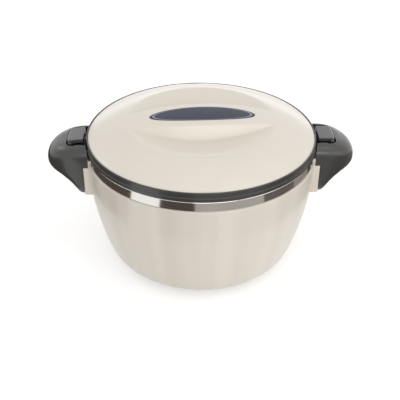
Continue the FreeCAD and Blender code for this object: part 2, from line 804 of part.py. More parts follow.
for side in ("right", "left"):
    pieces[f"{side}_bracket"] = bracket(side)
    pieces[f"{side}_handle"] = handle(side)
    reach = "pin_reach" if side == "right" else "-pin_reach"
    pieces[f"{side}_latch_pin"] = hinge_rod(f"{side}_latch_pin", "pin_radius", reach)
    pieces[f"{side}_latch"] = latch(side)

doc.recompute()

# Every object has to be sound before anything is written
for item in doc.Objects:
    faults = {"Invalid", "Error"}.intersection(item.State)
    if faults:
        raise RuntimeError(f"{item.Label} is {', '.join(sorted(faults))}")
for name, piece in pieces.items():
    piece.Label = name
    if piece.Shape.isNull() or not piece.Shape.isValid():
        raise RuntimeError(f"{name} has no sound shape")

for name, piece in pieces.items():
    piece.Shape.exportStep(f"parts/{name}.step")
    box = piece.Shape.BoundBox
    print(f"{name}: {piece.Shape.Volume:.0f} mm3, {len(piece.Shape.Solids)} solids,"
          f" x {box.XMin:.1f} {box.XMax:.1f}, y {box.YMin:.1f} {box.YMax:.1f},"
          f" z {box.ZMin:.1f} {box.ZMax:.1f}")
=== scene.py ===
import math

import bmesh
import bpy
import numpy as np
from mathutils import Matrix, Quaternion, Vector


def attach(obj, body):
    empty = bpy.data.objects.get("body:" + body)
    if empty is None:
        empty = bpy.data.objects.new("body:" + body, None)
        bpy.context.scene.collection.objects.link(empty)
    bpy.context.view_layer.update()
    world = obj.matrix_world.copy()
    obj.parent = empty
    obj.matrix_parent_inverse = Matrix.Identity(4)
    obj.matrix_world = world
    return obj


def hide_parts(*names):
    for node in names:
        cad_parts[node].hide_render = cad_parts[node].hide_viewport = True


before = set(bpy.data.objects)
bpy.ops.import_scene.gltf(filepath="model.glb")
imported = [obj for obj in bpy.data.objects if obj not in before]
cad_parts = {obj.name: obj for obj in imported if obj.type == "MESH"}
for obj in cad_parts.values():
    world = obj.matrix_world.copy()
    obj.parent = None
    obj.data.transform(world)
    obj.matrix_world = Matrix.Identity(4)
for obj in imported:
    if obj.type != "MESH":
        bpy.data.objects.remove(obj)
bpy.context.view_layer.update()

# Studio: a pale floor that runs on as a white ground, a broad lamp above, softer ones in front,
# at the right and at the left, and a low strip behind. The camera stands where the photograph was
# taken from, a little left of the middle and looking down at about 34 degrees.

TARGET = Vector((-0.0008, 0.0, 0.0555))
CAMERA_DISTANCE = 0.80
CAMERA_AZIMUTH = math.radians(-2.0)
CAMERA_ELEVATION = math.radians(33.8)
CAMERA_ROLL = math.radians(0.43)
CAMERA_LENS = 67.1

bpy.context.scene.view_settings.view_transform = "Standard"
camera = bpy.data.objects.new("camera", bpy.data.cameras.new("camera"))
bpy.context.scene.collection.objects.link(camera)
bpy.context.scene.camera = camera
backwards = Vector((math.sin(CAMERA_AZIMUTH) * math.cos(CAMERA_ELEVATION),
                    -math.cos(CAMERA_AZIMUTH) * math.cos(CAMERA_ELEVATION),
                    math.sin(CAMERA_ELEVATION)))
camera.location = TARGET + backwards * CAMERA_DISTANCE
camera.rotation_mode = "QUATERNION"
camera.rotation_quaternion = (backwards.to_track_quat("Z", "Y")
                              @ Quaternion((0, 0, 1), CAMERA_ROLL))
camera.data.lens = CAMERA_LENS


class Wire:
    """An output in a material's node tree that takes part in sums as a number does."""

    def __init__(self, socket):
        self.socket = socket

    def node(self, kind, settings=None, inputs=None, output=0):
        """A further node: its settings are set first, then its sockets' values or links."""
        tree = self.socket.id_data
        made = tree.nodes.new("ShaderNode" + kind)
        for name, value in (settings or {}).items():
            setattr(made, name, value)
        for name, value in (inputs or {}).items():
            if isinstance(value, Wire):
                tree.links.new(value.socket, made.inputs[name])
            else:
                made.inputs[name].default_value = value
        return Wire(made.outputs[output])

    def math(self, operation, *values):
        return self.node("Math", {"operation": operation}, dict(enumerate(values)))

    def __add__(self, other):
        return self.math("ADD", self, other)

    __radd__ = __add__

    def __mul__(self, other):
        return self.math("MULTIPLY", self, other)

    __rmul__ = __mul__

    def __sub__(self, other):
        return self.math("SUBTRACT", self, other)

    def __rsub__(self, other):
        return self.math("SUBTRACT", other, self)

    def between(self, low, high):
        """0 below low, 1 above high and a smooth step between them."""
        return self.node("MapRange", {"interpolation_type": "SMOOTHSTEP"},
                         {"Value": self, "From Min": low, "From Max": high})


def finish(name, **constants):
    """A material whose shader has these constants; gives it, its shader and its places."""
    material = bpy.data.materials.new(name)
    material.use_nodes = True
    shader = material.node_tree.nodes["Principled BSDF"]
    for socket, value in constants.items():
        shader.inputs[socket.replace("_", " ")].default_value = value
    place = material.node_tree.nodes.new("ShaderNodeTexCoord").outputs["Object"]
    return material, shader, Wire(place)


def feed(shader, **wires):
    """Lead wires to the shader's sockets of the same name."""
    for socket, wire in wires.items():
        wire.socket.id_data.links.new(wire.socket, shader.inputs[socket.replace("_", " ")])


def shade(wire, dark, light):
    """Colour that runs from dark to light as the wire runs from 0 to 1."""
    return wire.node("Mix", {"data_type": "RGBA"},
                     {"Factor": wire, "A": (*dark, 1), "B": (*light, 1)}, "Result")


def noise(place, scale, detail=2.0, roughness=0.5):
    """Noise from 0 to 1 at a place, with scale patches to the metre."""
    return place.node("TexNoise", {}, {"Vector": place, "Scale": scale, "Detail": detail,
                                       "Roughness": roughness})


def stretched(place, x, y, z):
    """Place with each axis multiplied, to draw a pattern out."""
    return place.node("Mapping", {}, {"Vector": place, "Scale": (x, y, z)})


def bump(height, depth):
    """Normal of a surface that the wire raises by depth metres."""
    return height.node("Bump", {}, {"Height": height, "Strength": 1.0, "Distance": depth})


def seen_white(tree):
    """1 for rays from the camera and for those that gloss, metal and glass send on, or else 0."""
    path = tree.nodes.new("ShaderNodeLightPath")
    rays = [Wire(path.outputs[f"Is {kind} Ray"]) for kind in ("Camera", "Glossy", "Transmission")]
    direct = rays[0].math("MAXIMUM", rays[0], rays[1])
    return direct.math("MAXIMUM", direct, rays[2])


FLOOR_REACH = 30.0
FLOOR_GLOW = 0.42  # added to the lit floor only where it is seen
AMBIENT = 0.72  # the white sky's strength as light, while it is seen at 1

floor_material, shader, _ = finish("studio_floor", Roughness=0.9, Emission_Strength=FLOOR_GLOW,
                                   Base_Color=(0.78, 0.78, 0.78, 1))
feed(shader, Emission_Color=shade(seen_white(floor_material.node_tree), (0, 0, 0), (1, 1, 1)))


def staged(name, points, material):
    """A flat sheet of the studio between corners in metres."""
    sheet = bpy.data.objects.new(name, bpy.data.meshes.new(name))
    sheet.data.from_pydata(points, [], [tuple(range(len(points)))])
    sheet.data.materials.append(material)
    bpy.context.scene.collection.objects.link(sheet)
    return sheet


staged("floor", [(-FLOOR_REACH, -FLOOR_REACH, 0), (FLOOR_REACH, -FLOOR_REACH, 0),
                 (FLOOR_REACH, FLOOR_REACH, 0), (-FLOOR_REACH, FLOOR_REACH, 0)], floor_material)

world = bpy.data.worlds.new("studio")
bpy.context.scene.world = world
world.use_nodes = True
sky = world.node_tree.nodes["Background"]
sky.inputs["Color"].default_value = (1, 1, 1, 1)
strength = seen_white(world.node_tree) * (1 - AMBIENT) + AMBIENT
world.node_tree.links.new(strength.socket, sky.inputs["Strength"])

LAMPS = (
    # name, place, width, height, watts
    ("key", (0.6, -0.4, 1.5), 1.2, 1.2, 3.4),
    ("front_fill", (0.3, -1.7, 0.5), 1.2, 0.8, 6.5),
    ("right_fill", (1.3, -1.0, 0.45), 0.9, 0.9, 2.2),
    ("left_fill", (-1.2, 0.7, 1.0), 0.5, 0.5, 1.3),
    ("back_strip", (0.1, 1.6, 0.3), 1.8, 0.3, 2.0),
)
for name, spot, width, height, watts in LAMPS:
    lamp = bpy.data.objects.new(name, bpy.data.lights.new(name, "AREA"))
    lamp.data.shape = "RECTANGLE"
    lamp.data.size, lamp.data.size_y = width, height
    lamp.data.energy = watts
    lamp.visible_camera = False
    lamp.location = spot
    lamp.rotation_mode = "QUATERNION"
    lamp.rotation_quaternion = (Vector(spot) - TARGET).to_track_quat("Z", "Y")
    bpy.context.scene.collection.objects.link(lamp)

# Cards on the table round the pot, which only gloss and polished metal show. They stand for
# what the steel band mirrors in the photograph: a brown room and a rosy screen.

CARD_NEAR, CARD_FAR, CARD_HEIGHT = 0.19, 0.9, 0.002
CARD_STEPS = 24
BROWN = ((0.05, 0.036, 0.028), (0.09, 0.068, 0.055))
UMBER = ((0.09, 0.075, 0.065), (0.17, 0.15, 0.135))
SAND = ((0.24, 0.21, 0.19), (0.38, 0.34, 0.31))
ROSE = ((0.42, 0.39, 0.375), (0.56, 0.53, 0.51))
CARDS = (
    # bearing from the front of its two edges in degrees, and its colours
    (-150, -61, BROWN),
    (-34.9, -6.6, BROWN),
    (-6.6, 50.5, ROSE),
    (50.5, 84, UMBER),
    (84, 118, SAND),
)
for number, (first, last, colours) in enumerate(CARDS):
    card_material, shader, place = finish(f"card_{number}", Roughness=1.0)
    feed(shader, Base_Color=shade(noise(place, 6.0), *colours))
    bearing = np.radians(np.linspace(first, last, CARD_STEPS))
    around = np.stack([np.sin(bearing), -np.cos(bearing)], -1)
    rim = np.vstack([around * CARD_NEAR, around[::-1] * CARD_FAR])
    corners = np.column_stack([rim, np.full(len(rim), CARD_HEIGHT)])
    card = staged(f"card_{number}", corners.tolist(), card_material)
    card.visible_camera = card.visible_diffuse = card.visible_shadow = False

# Outer shell: a deep cup moulded in cream plastic, with a softly bulging side and a cream lacquer
# whose colour carries broad painted highlight bands round the side. The base cap closes its foot
# and the steel band hides its top edge.

CREAM = (0.658, 0.606, 0.525)
PALE_CREAM = (0.723, 0.671, 0.59)
MOUTH_RADIUS = 114.9
SHELL_RIM, SHELL_TOP, SHELL_FLOOR = 116.29, 119.3, 2.0
SHELL_FLAT, SHELL_CORNER, SHELL_WALL = 75.0, 26.0, 2.4
SHELL_LIP = 0.8
BAND_SEAT = 115.3
BASE_HOLE = 58.0
SEAT_GAP = 0.1
MM = 0.001
WELD = 1e-7


def finished_mesh(name, body, mesh, material, crease):
    """Weld, smooth and place a mesh on its body."""
    work = bmesh.new()
    work.from_mesh(mesh)
    bmesh.ops.remove_doubles(work, verts=work.verts, dist=WELD)
    bmesh.ops.recalc_face_normals(work, faces=work.faces)
    work.to_mesh(mesh)
    work.free()
    mesh.shade_smooth()
    mesh.set_sharp_from_angle(angle=math.radians(crease))
    mesh.materials.append(material)
    piece = bpy.data.objects.new(name, mesh)
    bpy.context.scene.collection.objects.link(piece)
    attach(piece, body)
    return piece


def mesh_piece(name, body, grid, material, crease=35.0, wrap_rows=True, wrap_columns=True):
    """Quads over a grid of points in mm, shape (rows, columns, 3).

    A wrapped side joins its last line to its first. Lines that fall together at a pole or a
    seam are welded, which leaves triangles there.
    """
    rows, columns = grid.shape[:2]
    index = np.arange(rows * columns).reshape(rows, columns)
    if wrap_rows:
        index = np.vstack([index, index[:1]])
    if wrap_columns:
        index = np.hstack([index, index[:, :1]])
    quads = np.stack([index[:-1, :-1], index[:-1, 1:], index[1:, 1:], index[1:, :-1]], -1)
    mesh = bpy.data.meshes.new(name)
    mesh.from_pydata((grid.reshape(-1, 3) * MM).tolist(), [], quads.reshape(-1, 4).tolist())
    return finished_mesh(name, body, mesh, material, crease)


def turned(profile, turns=256):
    """An outline (radius, height) carried round Z: x = r cos a, y = r sin a, z = h."""
    angle = np.linspace(0, 2 * np.pi, turns, endpoint=False)[:, None]
    radius, height = profile[:, 0], profile[:, 1]
    return np.stack([radius * np.cos(angle), radius * np.sin(angle),
                     np.broadcast_to(height, (turns, len(height)))], -1)


def arc(centre, radius, first, last, count=12):
    """Points round a centre from one angle to another, in degrees."""
    angle = np.radians(np.linspace(first, last, count))
    return np.stack([centre[0] + radius * np.cos(angle), centre[1] + radius * np.sin(angle)], -1)


def belly(rim, top, floor, flat, corner, inset, corner_points=16, side_points=40):
    """Side of a deep cup from its flat to its rim: a corner arc, then a bulging arc.

    Both arcs are tangent where the line through their centres meets them, and the bulge is
    upright at the rim. Inset moves both in along their radii.
    """
    drop, rise = rim - flat, top - floor - corner
    bulge = (drop ** 2 + rise ** 2 - corner ** 2) / (2 * (drop - corner))
    meet = -math.degrees(math.asin(rise / (bulge - corner)))
    return np.vstack([arc((flat, floor + corner), corner - inset, -90, meet, corner_points),
                      arc((rim - bulge, top), bulge - inset, meet, 0, side_points)[1:]])


def round_the_wall(place):
    """Unit vector from the axis towards a place, for patterns that only change round the pot."""
    level = place.node("VectorMath", {"operation": "MULTIPLY"}, {0: place, 1: (1, 1, 0)})
    return level.node("VectorMath", {"operation": "NORMALIZE"}, {0: level})


lacquer_painted_sheen, shader, place = finish("cream_lacquer_painted_sheen", Coat_Weight=0.3, Coat_Roughness=0.12)
around = round_the_wall(place)
# The broad bands round the side are painted highlight bands: lighter cream that stands in for the
# studio's reflections. The fine streaks and flakes are the lacquer's own grain.
painted_highlight_bands = noise(around, 4.5, 1.0)
streaks = noise(around, 40.0, 4.0, 0.7)
flakes = noise(place, 4000.0)
feed(shader,
     Base_Color=shade((painted_highlight_bands * 0.75 + streaks * 0.15 + flakes * 0.1).between(0.3, 0.7),
                      CREAM, PALE_CREAM),
     Roughness=painted_highlight_bands * 0.2 + 0.25)

outside = belly(SHELL_RIM, SHELL_TOP, SHELL_FLOOR, SHELL_FLAT, SHELL_CORNER, 0.0)
inside = belly(SHELL_RIM, SHELL_TOP, SHELL_FLOOR, SHELL_FLAT, SHELL_CORNER, SHELL_WALL)
inside = inside[inside[:, 1] < BAND_SEAT][::-1]
profile = np.vstack([
    [(BASE_HOLE, SHELL_FLOOR)],
    outside[outside[:, 1] < SHELL_TOP - SHELL_LIP],
    arc((SHELL_RIM - SHELL_LIP, SHELL_TOP - SHELL_LIP), SHELL_LIP, 0, 90, 6),
    [(MOUTH_RADIUS + SEAT_GAP, SHELL_TOP), (MOUTH_RADIUS + SEAT_GAP, BAND_SEAT)],
    inside,
    [(BASE_HOLE, SHELL_FLOOR + SHELL_WALL)],
])
shell = mesh_piece("shell", "body", turned(profile), lacquer_painted_sheen)
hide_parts("outer_shell")

# Base cap and filling plug: moulded in the same cream, with a fine grain. The cap snaps into
# the shell's foot and carries the ring that the pot stands on.


def paint(material, *nodes):
    """Give CAD nodes this finish."""
    for node in nodes:
        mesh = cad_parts[node].data
        mesh.materials.clear()
        mesh.materials.append(material)


moulded, shader, place = finish("moulded_cream", Coat_Weight=0.15, Coat_Roughness=0.3)
grain = noise(place, 900.0)
patches = noise(place, 25.0)
feed(shader, Base_Color=shade(patches, CREAM, PALE_CREAM), Roughness=grain * 0.15 + 0.38,
     Normal=bump(grain, 0.00006))
paint(moulded, "base_cap", "filling_plug")

# Foam between the walls and in the lid: fine yellow cells that are poured in as a liquid,
# swell until they fill the room, and stick to its walls.

foam, shader, place = finish("poured_foam", Roughness=0.9)
cells = place.node("TexVoronoi", {}, {"Vector": place, "Scale": 1500.0})
feed(shader, Base_Color=shade(cells, (0.6, 0.5, 0.28), (0.86, 0.78, 0.5)),
     Normal=bump(cells, 0.0003))
paint(foam, "body_foam", "lid_foam")

# Bowl and lid liner: polished stainless steel. The bowl's rim shelf ends in the band that
# turns down over the shell's edge and shows between shell and lid.

STEEL_WALL = 0.8
RIM_TOP, RIM_BEND, BAND_BEND = 129.4, 1.6, 0.9
BOWL_RADIUS, BOWL_FLOOR, BOWL_FLAT, BOWL_CORNER = 104.0, 16.0, 66.0, 28.0

steel, shader, place = finish("polished_steel", Metallic=1.0)
lines = noise(stretched(place, 4.0, 4.0, 900.0), 3.0, 3.0)
smears = noise(place, 14.0)
feed(shader, Base_Color=shade(lines, (0.66, 0.635, 0.61), (0.8, 0.775, 0.75)),
     Roughness=lines * 0.06 + smears * 0.05 + 0.05)

BEND_START = RIM_TOP - RIM_BEND
dish_side = belly(BOWL_RADIUS, BEND_START, BOWL_FLOOR, BOWL_FLAT, BOWL_CORNER, 0.0)
under_side = belly(BOWL_RADIUS, BEND_START, BOWL_FLOOR, BOWL_FLAT, BOWL_CORNER, -STEEL_WALL)[::-1]
profile = np.vstack([
    [(0, BOWL_FLOOR)],
    dish_side,
    arc((BOWL_RADIUS + RIM_BEND, BEND_START), RIM_BEND, 180, 90, 6)[1:],
    arc((MOUTH_RADIUS - BAND_BEND, RIM_TOP - BAND_BEND), BAND_BEND, 90, 0, 8),
    [(MOUTH_RADIUS, BAND_SEAT), (MOUTH_RADIUS - STEEL_WALL, BAND_SEAT)],
    arc((MOUTH_RADIUS - BAND_BEND, RIM_TOP - BAND_BEND), BAND_BEND - STEEL_WALL, 0, 90, 6),
    arc((BOWL_RADIUS + RIM_BEND, BEND_START), RIM_BEND - STEEL_WALL, 90, 180, 6),
    under_side[1:],
    [(0, BOWL_FLOOR - STEEL_WALL)],
])
bowl = mesh_piece("bowl", "body", turned(profile, 320), steel)
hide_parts("inner_bowl")
paint(steel, "lid_liner")

# Screws and pins: zinc-plated steel. Two screws hold each handle from inside the shell, and
# a pin through the pocket's cheeks carries each latch.

zinc, shader, place = finish("zinc_plate", Metallic=1.0)
speckle = noise(place, 2500.0)
feed(shader, Base_Color=shade(speckle, (0.5, 0.5, 0.48), (0.68, 0.68, 0.66)),
     Roughness=speckle * 0.2 + 0.25)
paint(zinc, "right_handle_screws", "left_handle_screws", "right_latch_pin", "left_latch_pin")

# Brackets: cream moulded pads that give the handle a flat seat on the round shell, with a
# thin flange up the steel band. The handle's screws clamp them.

BRACKET_FACE, BRACKET_TOP, BRACKET_FLOOR = 118.8, 115.2, 83.0
BRACKET_HALF = 30.0
BRACKET_CORNER, BRACKET_EDGE = 2.2, 1.6
WALL_SEAT, SEAT_INSET, SEAT_CORNER = 114.0, 1.0, 0.5
FLANGE_INSIDE, FLANGE_OUTSIDE, FLANGE_TOP, FLANGE_EDGE = 115.0, 116.9, 122.5, 0.8
FLANGE_ROOT = 6.0
SIDES = (("right", 1), ("left", -1))


def rounded(corners, count=7):
    """Closed outline through corners (x, y, radius), each replaced by its tangent arc.

    The arc's centre lies on the bisector, radius / sin(half angle) from the corner.
    """
    points = []
    for index, (x, y, radius) in enumerate(corners):
        here = np.array([x, y], float)
        back = np.array(corners[index - 1][:2], float) - here
        ahead = np.array(corners[(index + 1) % len(corners)][:2], float) - here
        back /= np.linalg.norm(back)
        ahead /= np.linalg.norm(ahead)
        if radius == 0:
            points.append(here[None])
            continue
        half = math.acos(np.clip(back @ ahead, -1, 1)) / 2
        inward = (back + ahead) / np.linalg.norm(back + ahead)
        centre = here + inward * radius / math.sin(half)
        start = here + back * radius / math.tan(half) - centre
        stop = here + ahead * radius / math.tan(half) - centre
        first = math.atan2(start[1], start[0])
        turn = (math.atan2(stop[1], stop[0]) - first + math.pi) % (2 * math.pi) - math.pi
        angle = first + turn * np.linspace(0, 1, count)
        points.append(centre + radius * np.stack([np.cos(angle), np.sin(angle)], -1))
    return np.vstack(points)


def stack(outline, levels, turn=None):
    """An outline (x, y) in mm set at each level (z, inset), closed at both ends.

    Inset moves the outline in along its normals, and turn maps x, y, z to other axes.
    """
    step = np.roll(outline, -1, 0) - np.roll(outline, 1, 0)
    normal = np.stack([step[:, 1], -step[:, 0]], -1)
    normal /= np.linalg.norm(normal, axis=1, keepdims=True)
    rows = [np.column_stack([outline - normal * inset, np.full(len(outline), level)])
            for level, inset in levels]
    grid = np.stack(rows)
    middle = grid.mean(1, keepdims=True)
    ends = [np.broadcast_to(middle[row], (1, len(outline), 3)) for row in (0, -1)]
    grid = np.concatenate([ends[0], grid, ends[1]])
    return grid if turn is None else grid[..., turn]


def softened(low, high, edge, count=5):
    """Levels (z, inset) of a block whose two end edges are rounded by a quarter circle.

    At swing a the level is edge (1 - sin a) from the end and the inset is edge (1 - cos a).
    """
    swing = np.radians(np.linspace(0, 90, count))
    start = [(low + edge * (1 - math.sin(a)), edge * (1 - math.cos(a))) for a in swing[::-1]]
    stop = [(high - edge * (1 - math.sin(a)), edge * (1 - math.cos(a))) for a in swing]
    return start + stop


def merged(name, body, parts, material, crease=35.0):
    """One piece from several patches or blocks."""
    work = bmesh.new()
    for part in parts:
        work.from_mesh(part.data)
        bpy.data.objects.remove(part)
    mesh = bpy.data.meshes.new(name)
    work.to_mesh(mesh)
    work.free()
    return finished_mesh(name, body, mesh, material, crease)


def block(name, grid, material, body="body"):
    """A closed block from a stack of outlines."""
    return mesh_piece(name, body, grid, material, 40.0, False)


seat_angle = math.degrees(math.asin((BRACKET_HALF - SEAT_INSET) / WALL_SEAT))
seat = arc((0, 0), WALL_SEAT, seat_angle, -seat_angle, count=25)
face = rounded([(*seat[-1], 0), (seat[-1, 0], -BRACKET_HALF, SEAT_CORNER),
                (BRACKET_FACE, -BRACKET_HALF, BRACKET_CORNER),
                (BRACKET_FACE, BRACKET_HALF, BRACKET_CORNER),
                (seat[0, 0], BRACKET_HALF, SEAT_CORNER)])
pad_plan = np.vstack([seat[:-1], face])
pad_levels = softened(BRACKET_FLOOR, BRACKET_TOP, BRACKET_EDGE)
flange_angle = math.degrees(math.asin(BRACKET_HALF / FLANGE_OUTSIDE))
flange_plan = np.vstack([arc((0, 0), FLANGE_INSIDE, flange_angle, -flange_angle, count=33),
                         arc((0, 0), FLANGE_OUTSIDE, -flange_angle, flange_angle, count=33)])
flange_levels = softened(BRACKET_TOP - FLANGE_ROOT, FLANGE_TOP, FLANGE_EDGE)
for side, way in SIDES:
    pad = block("pad", stack(pad_plan * (way, way), pad_levels), moulded)
    flange = block("flange", stack(flange_plan * (way, way), flange_levels), moulded)
    bracket = merged(f"{side}_pad", "body", [pad, flange], moulded, 40.0)
    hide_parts(f"{side}_bracket")

# Handles: smooth ears of charcoal plastic, screwed on through the brackets. Their tops carry
# the latch pockets and their roots follow the round of the lid.

EAR_REACH, EAR_WIDTH, EAR_ROOT = 37.2, 60.0, -0.22
EAR_TOP, EAR_TIP, EAR_TOE = 136.0, 114.5, 82.0
EAR_END, EAR_POWER = 0.995, 2.3
# Share of the reach, with the depth there as a share of the root's, and with the powers that
# the section's outline has above and below the tip line
EAR_DEPTH = ((0, 1), (0.12, 0.99), (0.25, 0.80), (0.4, 0.595), (0.6, 0.41), (0.8, 0.32),
             (0.92, 0.24), (0.98, 0.17), (1, 0.12))
EAR_ABOVE = ((0, 5.0), (0.45, 4.0), (0.75, 3.0), (1, 2.2))
EAR_BELOW = ((0, 8.0), (0.3, 5.0), (0.75, 3.0), (1, 2.2))
CLEAR_RADIUS = 117.0
# How far the cutting blocks go in, aside, down and up, all of it past the ear
CUT_INSIDE, CUT_HALF, CUT_LOW, CUT_HIGH = 60.0, 50.0, 60.0, 160.0
POCKET_FLOOR, POCKET_WIDTH, POCKET_CORNER = 129.4, 40.0, 8.0
POCKET_START, POCKET_END = 90.0, 135.2
PIN_REACH, PIN_HEIGHT = 131.0, 133.8
CHEEK_NEAR, CHEEK_FAR, CHEEK_ROUND, CHEEK_EDGE = 13.4, 16.2, 1.9, 0.4
CHEEK_CORNER = CHEEK_ROUND - 0.1
CHEEK_SUNK = 1.0
RIB_PLACE, RIB_HEIGHT, RIB_ROUND, RIB_EDGE = 15.0, 131.2, 1.9, 0.9
RIB_START, RIB_END = 118.6, 127.2
# Axes of a stack whose levels run along Y or along X
ALONG_Y, ALONG_X = [0, 2, 1], [2, 0, 1]

charcoal, shader, place = finish("charcoal_plastic", Coat_Weight=0.35, Coat_Roughness=0.12)
grain = noise(place, 3000.0, 3.0)
flow = noise(place, 18.0)
feed(shader,
     Base_Color=shade(flow * 0.6 + grain * 0.4, (0.032, 0.032, 0.03), (0.044, 0.044, 0.041)),
     Roughness=grain * 0.1 + 0.27, Normal=bump(grain, 0.00002))


def ear_grid(stations=90, around=160):
    """Sections across a handle, from inside its root to its tip.

    At share t of the reach the width and the height over the tip line shrink as
    (1 - (0.995 t)^2.3)^(1/2.3), the depth under it as a curve through the toe, and each
    section is a superellipse that softens from square-shouldered at the root to round at the
    tip, and is squarer below than above.
    """
    out = np.concatenate([np.linspace(EAR_ROOT, 0.0, 6)[:-1],
                          np.sin(np.linspace(0, np.pi / 2, stations))])
    t = np.clip(out, 0, 1)
    share = (1 - (EAR_END * t) ** EAR_POWER) ** (1 / EAR_POWER)
    kernel = np.hanning(9)[1:-1]
    depth = np.pad(np.interp(t, *zip(*EAR_DEPTH)), len(kernel) // 2, "edge")
    depth = np.convolve(depth, kernel / kernel.sum(), "valid")
    angle = np.linspace(0, 2 * np.pi, around, endpoint=False)[None]
    above = np.interp(t, *zip(*EAR_ABOVE))[:, None]
    below = np.interp(t, *zip(*EAR_BELOW))[:, None]
    power = 2 / np.where(np.sin(angle) > 0, above, below)
    across = np.sign(np.cos(angle)) * np.abs(np.cos(angle)) ** power
    upward = np.sign(np.sin(angle)) * np.abs(np.sin(angle)) ** power
    half = (EAR_WIDTH / 2 * share)[:, None]
    rise = ((EAR_TOP - EAR_TIP) * share)[:, None]
    fall = ((EAR_TIP - EAR_TOE) * depth)[:, None]
    grid = np.stack([
        np.broadcast_to(BRACKET_FACE + EAR_REACH * out[:, None], (len(out), around)),
        half * across,
        EAR_TIP + np.where(upward > 0, rise, fall) * upward], -1)
    middle = grid.mean(1, keepdims=True)
    caps = [np.broadcast_to(middle[row], (1, around, 3)) for row in (0, -1)]
    return np.concatenate([caps[0], grid, caps[1]])


def carved(piece, *cutters):
    """Cut solids away from a piece, and throw the cutters away."""
    for cutter in cutters:
        cut = piece.modifiers.new("cut", "BOOLEAN")
        cut.object = cutter
        cut.operation = "DIFFERENCE"
        cut.solver = "EXACT"
    shape = piece.evaluated_get(bpy.context.evaluated_depsgraph_get())
    mesh = bpy.data.meshes.new_from_object(shape)
    piece.modifiers.clear()
    piece.data = mesh
    for cutter in cutters:
        bpy.data.objects.remove(cutter)
    mesh.shade_smooth()
    mesh.set_sharp_from_angle(angle=math.radians(35))
    return piece


lid_plan = arc((0, 0), CLEAR_RADIUS, 0, 360, 257)[:-1]
bracket_plan = np.array([(CUT_INSIDE, -CUT_HALF), (BRACKET_FACE, -CUT_HALF),
                         (BRACKET_FACE, CUT_HALF), (CUT_INSIDE, CUT_HALF)])
pocket_plan = rounded([(POCKET_START, -POCKET_WIDTH / 2, 0),
                       (POCKET_END, -POCKET_WIDTH / 2, POCKET_CORNER),
                       (POCKET_END, POCKET_WIDTH / 2, POCKET_CORNER),
                       (POCKET_START, POCKET_WIDTH / 2, 0)], 10)
cheek_side = rounded([
    (PIN_REACH - CHEEK_ROUND, POCKET_FLOOR - CHEEK_SUNK, 0),
    (PIN_REACH + CHEEK_ROUND, POCKET_FLOOR - CHEEK_SUNK, 0),
    (PIN_REACH + CHEEK_ROUND, PIN_HEIGHT + CHEEK_ROUND, CHEEK_CORNER),
    (PIN_REACH - CHEEK_ROUND, PIN_HEIGHT + CHEEK_ROUND, CHEEK_CORNER)])
rib_round = arc((0, RIB_HEIGHT), RIB_ROUND, 0, 360, 25)[:-1]
for side, way in SIDES:
    spin = np.array((way, way, 1))
    ear = mesh_piece("ear_blank", "body", ear_grid() * spin, charcoal, wrap_rows=False)
    lid_room = block("lid_room", stack(lid_plan, [(CUT_LOW, 0), (CUT_HIGH, 0)]), charcoal)
    bracket_room = block("bracket_room", stack(bracket_plan * (way, way),
                                               [(CUT_LOW, 0), (BRACKET_TOP, 0)]), charcoal)
    pocket = block("pocket", stack(pocket_plan * (way, way),
                                   [(POCKET_FLOOR, 0), (CUT_HIGH, 0)]), charcoal)
    carved(ear, lid_room, bracket_room, pocket)
    fittings = [ear]
    for hand in (1, -1):
        low, high = sorted((hand * CHEEK_NEAR, hand * CHEEK_FAR))
        cheek = stack(cheek_side, softened(low, high, CHEEK_EDGE), ALONG_Y)
        rib = stack(rib_round + (hand * RIB_PLACE, 0), softened(RIB_START, RIB_END, RIB_EDGE),
                    ALONG_X)
        fittings += [block("cheek", cheek * spin, charcoal), block("rib", rib * spin, charcoal)]
    ear = merged(f"{side}_ear", "body", fittings, charcoal)
    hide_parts(f"{side}_handle")

# Latches: short levers of a glossier grey plastic, hollow below, that turn about a pin at
# their outer end. The right one lies closed and the left one stands a little open.

LATCH_HALF, LATCH_EDGE = 13.0, 0.7
LATCH_START, LATCH_KNEE, LATCH_END = 117.6, 127.4, 134.6
LATCH_TOP, LATCH_SKIRT, LATCH_FOOT = 137.4, 132.9, 130.2
LATCH_BOW = 1.8
HOLLOW_START, HOLLOW_END, HOLLOW_HALF = 120.2, 126.8, 11.2
HOLLOW_LOW, HOLLOW_TOP = 120.0, 135.1
LATCH_OPEN = {"right": 0.0, "left": math.radians(6.0)}

grey, shader, place = finish("latch_plastic", Coat_Weight=0.6, Coat_Roughness=0.1)
grain = noise(place, 3000.0, 3.0)
rubbed = noise(place, 90.0, 3.0)
feed(shader,
     Base_Color=shade(rubbed * 0.7 + grain * 0.3, (0.048, 0.048, 0.047), (0.07, 0.07, 0.068)),
     Roughness=rubbed * 0.12 + grain * 0.06 + 0.22, Normal=bump(grain, 0.00002))

lever_side = rounded([
    (LATCH_START, LATCH_SKIRT, 0.8), (LATCH_KNEE, LATCH_SKIRT, 0.6), (LATCH_KNEE, LATCH_FOOT, 1.5),
    (LATCH_END, LATCH_FOOT, 2.4), (LATCH_END, LATCH_TOP, 2.9), (LATCH_START, LATCH_TOP, 0.9)], 9)
ends = softened(-LATCH_HALF, LATCH_HALF, LATCH_EDGE)
middle = [(y, 0) for y in np.linspace(1 - LATCH_HALF, LATCH_HALF - 1, 15)]
half = len(ends) // 2
lever_block = stack(lever_side, ends[:half] + middle + ends[half:], ALONG_Y)
# Past the knee the lever bows in by bow * share * (y / half width)^4, most at its outer corners.
outer_share = np.clip((lever_block[..., 0] - LATCH_KNEE) / (LATCH_END - LATCH_KNEE), 0, 1)
lever_block[..., 0] -= LATCH_BOW * outer_share * (lever_block[..., 1] / LATCH_HALF) ** 4
hollow_plan = np.array([(HOLLOW_START, -HOLLOW_HALF), (HOLLOW_END, -HOLLOW_HALF),
                        (HOLLOW_END, HOLLOW_HALF), (HOLLOW_START, HOLLOW_HALF)])
hollow_block = stack(hollow_plan, [(HOLLOW_LOW, 0), (HOLLOW_TOP, 0)])


